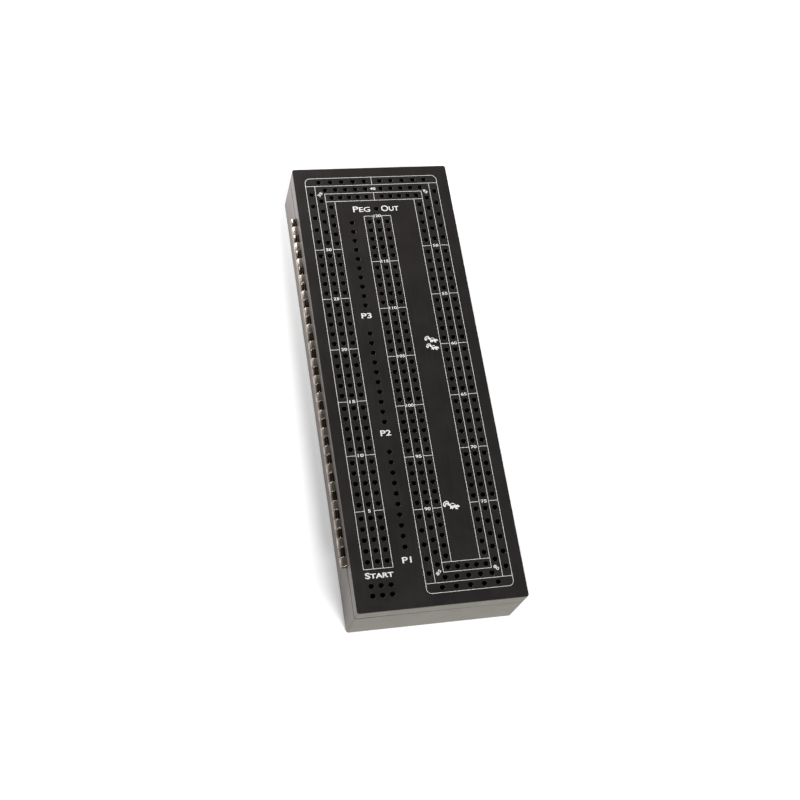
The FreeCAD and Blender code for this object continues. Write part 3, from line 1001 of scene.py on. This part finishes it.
# %% Words
LABEL_HEIGHT = 3.7
words = Blank()
lettering(words, "Start", -35.7, -128.05, 3.75, 17.0, small_caps=0.8, weight=0.025)
lettering(words, "Peg", -9.95, 118.5, 4.3, 11.3, small_caps=0.82, weight=0.008)
lettering(words, "Out", 9.05, 118.5, 4.3, 11.8, small_caps=0.82, weight=0.012)
for label, x, y, width in (
    ("P1", -17.9, -120.6, 5.7),
    ("P2", -18.15, -39.6, 6.6),
    ("P3", -18.15, 40.7, 6.6),
):
    lettering(words, label, x, y, LABEL_HEIGHT, width, weight=0.018)
make_piece("board_words", words, [ink], "lid")

# %% [markdown]
# ## The line animals
# A small skunk marks the two lines that a losing player hopes to have passed. One smooth
# closed outline is drawn through a few listed points, then filled around its two stripes,
# where the black lacquer shows through. The points are in the millimetres of the largest one.

# %% Outlines of a skunk
SKUNK = (
    (0.8, 2.0), (0.25, 2.3), (0.0, 2.9), (0.05, 3.7), (0.3, 4.4), (0.85, 5.0), (1.55, 5.45),
    (2.3, 5.7), (3.05, 5.6), (3.6, 5.2), (3.95, 4.55), (4.15, 3.9), (4.6, 3.65), (5.2, 3.95),
    (6.0, 4.1), (6.75, 3.9), (7.3, 3.3), (7.95, 2.75), (8.65, 2.65), (9.25, 2.75), (9.7, 2.35),
    (9.9, 1.85), (10.3, 1.4), (9.65, 1.15), (8.8, 1.25), (8.4, 0.9), (8.85, 0.4), (8.7, 0.0),
    (7.7, 0.1), (7.1, 0.5), (7.0, 1.0), (6.2, 1.1), (5.9, 0.6), (5.55, 0.2), (5.15, 0.3),
    (5.0, 0.9), (4.65, 0.6), (4.15, 0.35), (3.95, 0.8), (4.15, 1.6), (4.1, 2.25), (3.65, 2.6),
    (3.15, 2.85), (2.8, 3.2), (2.65, 3.7), (2.4, 3.95), (2.15, 3.5), (1.9, 2.9), (1.65, 2.25),
    (1.25, 2.0),
)
STRIPE = (
    (4.75, 3.1), (5.3, 3.5), (5.95, 3.6), (6.55, 3.4), (7.35, 2.85), (6.4, 2.5), (5.6, 2.45),
    (5.0, 2.65),
)
TAIL_STRIPE = (
    (0.7, 3.1), (0.8, 3.8), (1.15, 4.38), (1.72, 4.83), (2.4, 5.05), (3.05, 4.92), (3.42, 4.4),
    (2.95, 4.58), (2.4, 4.6), (1.86, 4.35), (1.42, 3.9), (1.22, 3.45), (1.12, 3.05),
)
SKUNK_SIZE = Vector((10.3, 5.7))
print("points of a skunk", len(SKUNK) + len(STRIPE) + len(TAIL_STRIPE))

# %% [markdown]
# A curve that passes through its points, known as a Catmull-Rom spline, rounds the outlines.
# Each stretch between two points looks at the point before and the point beyond as well, so
# it leaves one stretch in the direction in which it enters the next.

# %% Print the skunks
CURVE_STEPS = 3


def smooth_loop(points):
    """A rounded closed line through listed points."""
    points = [Vector(point) for point in points]
    line = []
    for i, point in enumerate(points):
        before = points[i - 1]
        after = points[(i + 1) % len(points)]
        beyond = points[(i + 2) % len(points)]
        for k in range(CURVE_STEPS):
            t = k / CURVE_STEPS
            line.append(
                0.5
                * (
                    2 * point
                    + (after - before) * t
                    + (2 * before - 5 * point + 4 * after - beyond) * t * t
                    + (3 * point - before - 3 * after + beyond) * t * t * t
                )
            )
    return line


def skunk(blank, left, low, width, tall):
    """Prints one skunk in a rectangle of the playing face."""
    rows = []
    for z in (TOP_Z, FACE_Z - INK_SINK):
        rows.append(
            [
                blank.loop(
                    [
                        (left + p.x / SKUNK_SIZE.x * width, low + p.y / SKUNK_SIZE.y * tall, z)
                        for p in smooth_loop(outline)
                    ]
                )
                for outline in (SKUNK, STRIPE, TAIL_STRIPE)
            ]
        )
    for body, *stripes in rows:
        blank.fill(body, stripes)
    for above, below in zip(*rows):
        blank.band(above, below)


animals = Blank()
skunk(animals, 9.6, -92.1, 10.3, 5.7)
skunk(animals, 16.6, 19.3, 8.7, 4.8)
skunk(animals, 16.9, 14.1, 8.2, 4.75)
make_piece("line_skunks", animals, [ink], "lid")

# %% [markdown]
# ## The piano hinge
# A piano hinge is two strips of sheet with alternate tongues rolled round one long pin. The
# construction model gives each knuckle eight flats, so here the same tongue is rolled again as
# a true curl, open by a hair where its end meets the strap. One strip per leaf, built with
# shared corners, lets the light run from the flat sheet over the curl without a seam.

# %% Sizes of the hinge
HINGE_X = -53.4
KNUCKLES = 40
KNUCKLE_PITCH = 5.92
KNUCKLE_GAP = 0.16
KNUCKLE_RADIUS = 2.36
SHEET = 0.9
LEAF_EDGE_X = -43.8
KNUCKLE_FLATS = 8
NOTCH_ROOM = 0.4
NOTCH_X = HINGE_X + KNUCKLE_RADIUS / math.cos(math.pi / KNUCKLE_FLATS) + NOTCH_ROOM
HINGE_HALF = KNUCKLES * KNUCKLE_PITCH / 2
SCREW_RADIUS = 1.0
HEAD_RADIUS = 2.1
SCREW_PLAY = 0.05
CURL_STEPS = 26
CURL_START = 90
CURL_TURN = 303
print("hinge", 2 * HINGE_HALF, "mm long")


# %% Roll the leaves
def hinge_leaf(name, up, first_knuckle, body, node, finish):
    """One leaf with its rolled knuckles: up is 1 for the board's leaf and -1 for the base's."""
    leaf = Blank()
    bore_radius = KNUCKLE_RADIUS - SHEET
    seat_z = SEAM_Z + up * KNUCKLE_RADIUS
    face_z = SEAM_Z + up * bore_radius
    straps = []
    for i in range(first_knuckle, KNUCKLES, 2):
        start = -HINGE_HALF + i * KNUCKLE_PITCH + KNUCKLE_GAP / 2
        straps += [start, start + KNUCKLE_PITCH - KNUCKLE_GAP]
    near_edge = [(NOTCH_X, y) for y in (-HINGE_HALF, *straps, HINGE_HALF)]
    far_edge = [(LEAF_EDGE_X, HINGE_HALF), (LEAF_EDGE_X, -HINGE_HALF)]
    seat = leaf.loop([(x, y, seat_z) for x, y in near_edge + far_edge])
    face = leaf.loop([(x, y, face_z) for x, y in near_edge + far_edge])
    leaf.band(seat, face, skip=range(1, len(straps) + 1, 2))
    wide = [leaf.loop(circle(SCREW_X, y, face_z, HEAD_RADIUS + SCREW_PLAY)) for y in SCREW_YS]
    narrow = [leaf.loop(circle(SCREW_X, y, seat_z, SCREW_RADIUS + SCREW_PLAY)) for y in SCREW_YS]
    leaf.fill(seat, narrow)
    leaf.fill(face, wide)
    for one, other in zip(wide, narrow):
        leaf.band(one, other)

    turns = [
        math.radians(CURL_START + CURL_TURN * i / CURL_STEPS) for i in range(CURL_STEPS + 1)
    ]
    for k in range(0, len(straps), 2):
        chains = []
        for side in (0, 1):
            y = straps[k + side]
            for start, radius in ((seat, KNUCKLE_RADIUS), (face, bore_radius)):
                chains.append(
                    [start[1 + k + side]]
                    + leaf.loop(
                        [
                            (
                                HINGE_X + radius * math.cos(turn),
                                y,
                                SEAM_Z + up * radius * math.sin(turn),
                            )
                            for turn in turns
                        ]
                    )
                )
        outer_a, inner_a, outer_b, inner_b = chains
        for one, other in (
            (outer_a, outer_b),
            (inner_a, inner_b),
            (outer_a, inner_a),
            (outer_b, inner_b),
        ):
            leaf.band(one, other, closed=False)
        leaf.face((outer_a[-1], outer_b[-1], inner_b[-1], inner_a[-1]))
    return make_piece(name, leaf, [finish], body, [node])


leaves = [
    hinge_leaf("hinge_leaf_board_rolled", 1, 0, "lid", "hinge_leaf_lid", board_nickel_painted_lit),
    hinge_leaf("hinge_leaf_base_rolled", -1, 1, "base", "hinge_leaf_base", base_nickel_painted_shade),
]


# %% [markdown]
# Hinge strip is tumbled before plating, which rounds the ends of the knuckles. Each rim then
# catches a thin bright line of light. A bevel rounds only chosen edges: the sharp ones that
# lie on the outside of a knuckle. The light would show a chamfer's flat as a hard line, so
# the bevel has three segments. Clamping is off, because the short edges of the curl would
# otherwise hold the bevel to a fraction of its width.

# %% Ease the knuckle ends
EASED_KNUCKLE = 0.3
EASE_SEGMENTS = 3
SHARP = 60
KNUCKLE_CREASE = 40


def ease_knuckles(piece):
    """Rounds the outer edges at the ends of the knuckles."""
    shape = bmesh.new()
    shape.from_mesh(piece.data)
    edges = []
    for edge in shape.edges:
        if len(edge.link_faces) != 2 or edge.calc_face_angle(0) < math.radians(SHARP):
            continue
        ends = [v.co / MM for v in edge.verts]
        reach = min(math.hypot(end.x - HINGE_X, end.z - SEAM_Z) for end in ends)
        outside = reach > KNUCKLE_RADIUS - SAME_PLACE
        if outside and max(end.x for end in ends) < NOTCH_X + SAME_PLACE:
            edges.append(edge)
    bmesh.ops.bevel(
        shape,
        geom=edges,
        offset=EASED_KNUCKLE * MM,
        offset_type="OFFSET",
        segments=EASE_SEGMENTS,
        profile=0.5,
        affect="EDGES",
        clamp_overlap=False,
    )
    shape.to_mesh(piece.data)
    shape.free()
    piece.data.polygons.foreach_set("use_smooth", [True] * len(piece.data.polygons))
    piece.data.set_sharp_from_angle(angle=math.radians(KNUCKLE_CREASE))
    print(piece.name, "eased", len(edges), "edges")


for leaf_piece in leaves:
    ease_knuckles(leaf_piece)

# %% [markdown]
# ## Screws and magnets
# Ten small countersunk screws hold the leaves. A cross recess is only a smaller cross joined
# to a larger one, a little deeper in the head. Each screw is turned by another angle, because
# nobody stops a screwdriver at the same place ten times.

# %% Screws
SHANK_END, POINT_END = 5.0, 7.0
POINT_RADIUS = 0.25
FIRST_SPIN, NEXT_SPIN = 23, 31
# arm length, half an arm's width and depth, at the mouth and at the bottom of the recess
RECESS = ((1.3, 0.26, 0.0), (0.75, 0.14, 0.85))


def screw(blank, x, y, up, spin):
    """A countersunk screw: up is 1 when its point is above its head."""
    head_z = SEAM_Z + up * (KNUCKLE_RADIUS - SHEET)
    profile = (
        (HEAD_RADIUS, 0.0),
        (SCREW_RADIUS, SHEET),
        (SCREW_RADIUS, SHANK_END),
        (POINT_RADIUS, POINT_END),
    )
    rings = [blank.loop(circle(x, y, head_z + up * z, radius)) for radius, z in profile]
    for one, other in zip(rings, rings[1:]):
        blank.band(one, other)
    blank.face(rings[-1])
    cross = []
    for length, half, depth in RECESS:
        corners = []
        for arm in range(4):
            turn = Matrix.Rotation(math.radians(90 * arm + spin), 2)
            for px, py in ((length, -half), (length, half), (half, half)):
                p = turn @ Vector((px, py))
                corners.append((x + p.x, y + p.y, head_z + up * depth))
        cross.append(blank.loop(corners))
    blank.fill(rings[0], [cross[0]])
    blank.band(cross[0], cross[1])
    blank.fill(cross[1])


for name, up, body, node in (
    ("hinge_screws_board_crossed", 1, "lid", "hinge_screws_lid"),
    ("hinge_screws_base_crossed", -1, "base", "hinge_screws_base"),
):
    screws = Blank()
    for i, y in enumerate(SCREW_YS):
        screw(screws, SCREW_X, y, up, FIRST_SPIN + NEXT_SPIN * i)
    make_piece(name, screws, [screw_steel], body, [node])

# %% [markdown]
# Two pairs of disc magnets keep the lid shut, one disc of each pair in the board and one in
# the rim. A pressed and plated disc has soft edges, so its profile steps round them.

# %% Magnets
MAGNET_SIDES = 40
EDGE_ROUND, EDGE_CUT = 0.25, 0.07
for name, low, body, node in (
    ("closing_magnets_board_round", lid_magnet_z, "lid", "closing_magnets_lid"),
    ("closing_magnets_base_round", SEAM_Z - MAGNET_THICKNESS, "base", "closing_magnets_base"),
):
    discs = Blank()
    for y in MAGNET_YS:
        high = low + MAGNET_THICKNESS
        turned(
            discs,
            MAGNET_X,
            y,
            (
                (MAGNET_RADIUS - EDGE_ROUND, low),
                (MAGNET_RADIUS - EDGE_CUT, low + EDGE_CUT),
                (MAGNET_RADIUS, low + EDGE_ROUND),
                (MAGNET_RADIUS, high - EDGE_ROUND),
                (MAGNET_RADIUS - EDGE_CUT, high - EDGE_CUT),
                (MAGNET_RADIUS - EDGE_ROUND, high),
            ),
            MAGNET_SIDES,
        )
    make_piece(name, discs, [magnet_plate], body, [node])

# %% [markdown]
# ## Inside the box
# Between the two card wells a low block holds nine pegs. It is a plain block with its top
# edge planed off, and it gets the same round bores as the board, drilled where the
# construction model has them.

# %% Peg block
BLOCK_X, BLOCK_Y = 42.0, 40.0
FLOOR_Z, BLOCK_Z, PEG_FOOT_Z = 4.0, 17.0, 6.0
BLOCK_EASE = 0.5
peg_places = drilled_places("peg_block", PEG_FOOT_Z)
block = Blank()
rings = [
    block.loop([(sx * (BLOCK_X - inset), sy * (BLOCK_Y - inset), z) for sx, sy in SQUARE])
    for inset, z in ((0, FLOOR_Z), (0, BLOCK_Z - BLOCK_EASE), (BLOCK_EASE, BLOCK_Z))
]
for one, other in zip(rings, rings[1:]):
    block.band(one, other)
block.face(rings[0])
block.fill(
    rings[-1],
    [bore(block, x, y, BLOCK_Z, PEG_FOOT_Z, HOLE_RADIUS, BORE_FINISH) for x, y in peg_places],
)
make_piece(
    "peg_block_bored", block, [side_lacquer_painted_reflection, bare_bore_and_painted_shade], "base", ["peg_block"]
)

# %% [markdown]
# Each peg is turned from one profile of radius and height: a straight shank with an eased
# foot, a head that flares upward, and a domed top. Three pegs of each colour stand in three
# rows of the block.

# %% Pegs
PEG_PROFILE = (
    (1.1, 6.0), (1.32, 6.25), (1.4, 6.6), (1.4, 19.5), (1.4, 20.5), (1.46, 21.3), (1.62, 23.4),
    (1.82, 26.0), (1.94, 27.6), (1.97, 28.05), (1.94, 28.4), (1.8, 28.8), (1.53, 29.12),
    (1.12, 29.34), (0.56, 29.48), (0.15, 29.5),
)
PEG_SIDES = 28
for colour, row_y in (("red", -10.0), ("white", 0.0), ("blue", 10.0)):
    pegs = Blank()
    for x, y in peg_places:
        if abs(y - row_y) < 1:
            turned(pegs, x, y, PEG_PROFILE, PEG_SIDES)
    finish = peg_finishes[colour]
    make_piece(
        f"pegs_{colour}_turned", pegs, [finish], "base", [f"pegs_{colour}"]
    )

# %% [markdown]
# ## Felt
# Each card well is lined with a rectangle of felt, cut to fit and laid on the floor. A grid of
# small squares lets the nap rise and fall by a few hundredths of a millimetre, and the cut
# edges sink a little, as pressed felt does. The node bump then adds the fibres.

# %% Lay the felt
FELT_X = 42.0
WELL_NEAR, WELL_FAR = 45.0, 140.0
FELT_TOP = 5.0
CELLS_X, CELLS_Y = 56, 64
NAP = 0.07
NAP_SCALE = 0.35
SUNK_EDGE = {0: 0.3, 1: 0.05}


def felt_sheet(name, near, far_end, node):
    """One rectangle of felt between two places along the box."""
    sheet = Blank()
    rows = []
    for low in (False, True):
        for j in range(CELLS_Y + 1):
            row = []
            for i in range(CELLS_X + 1):
                x = -FELT_X + 2 * FELT_X * i / CELLS_X
                y = near + (far_end - near) * j / CELLS_Y
                edge = min(i, CELLS_X - i, j, CELLS_Y - j)
                nap = NAP * (noise.noise(Vector((x, y, 0)) * NAP_SCALE) + 1) / 2
                top_z = FELT_TOP - nap - SUNK_EDGE.get(edge, 0)
                row.append((x, y, FLOOR_Z if low else top_z))
            rows.append(sheet.loop(row))
    top, bottom = rows[: CELLS_Y + 1], rows[CELLS_Y + 1 :]
    for side in (top, bottom):
        for one, other in zip(side, side[1:]):
            sheet.band(one, other, closed=False)
    for one, other in ((top[0], bottom[0]), (top[-1], bottom[-1])):
        sheet.band(one, other, closed=False)
    for end in (0, -1):
        sheet.band([r[end] for r in top], [r[end] for r in bottom], closed=False)
    piece = make_piece(name, sheet, [felt], "base", [node])
    return piece


felt_sheet("felt_front_laid", -WELL_FAR, -WELL_NEAR, "well_lining_front")
felt_sheet("felt_back_laid", WELL_NEAR, WELL_FAR, "well_lining_back")

# %% [markdown]
# ## The carried-over pieces
# The walls, the floor, the dividers and the hinge pin already have the right shape. They only
# need their finish, with the grain along each piece and the painted reflection tint of its side.
# The pin wears the painted dark nickel of the base's leaf.

# %% Dress the CAD pieces
for node, finish in (
    ("base_wall_hinge_side", side_lacquer_painted_reflection),
    ("base_wall_free_side", side_lacquer_painted_reflection),
    ("base_wall_front", end_lacquer_painted_reflection),
    ("base_wall_back", end_lacquer_painted_reflection),
    ("base_floor", side_lacquer_painted_reflection),
    ("well_divider_front", end_lacquer_painted_reflection),
    ("well_divider_back", end_lacquer_painted_reflection),
    ("hinge_pin", base_nickel_painted_shade),
):
    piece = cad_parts[node]
    if not piece.material_slots:
        piece.data.materials.append(finish)
    for material_slot in piece.material_slots:
        material_slot.material = finish
    print("dressed", node)

# %% [markdown]
# ## Measure and finish
# The last cell measures the dressed box and prints the space it fills.

# %% Measure and finish
low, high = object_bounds()
print("visual box", [round(v, 4) for v in low], [round(v, 4) for v in high])
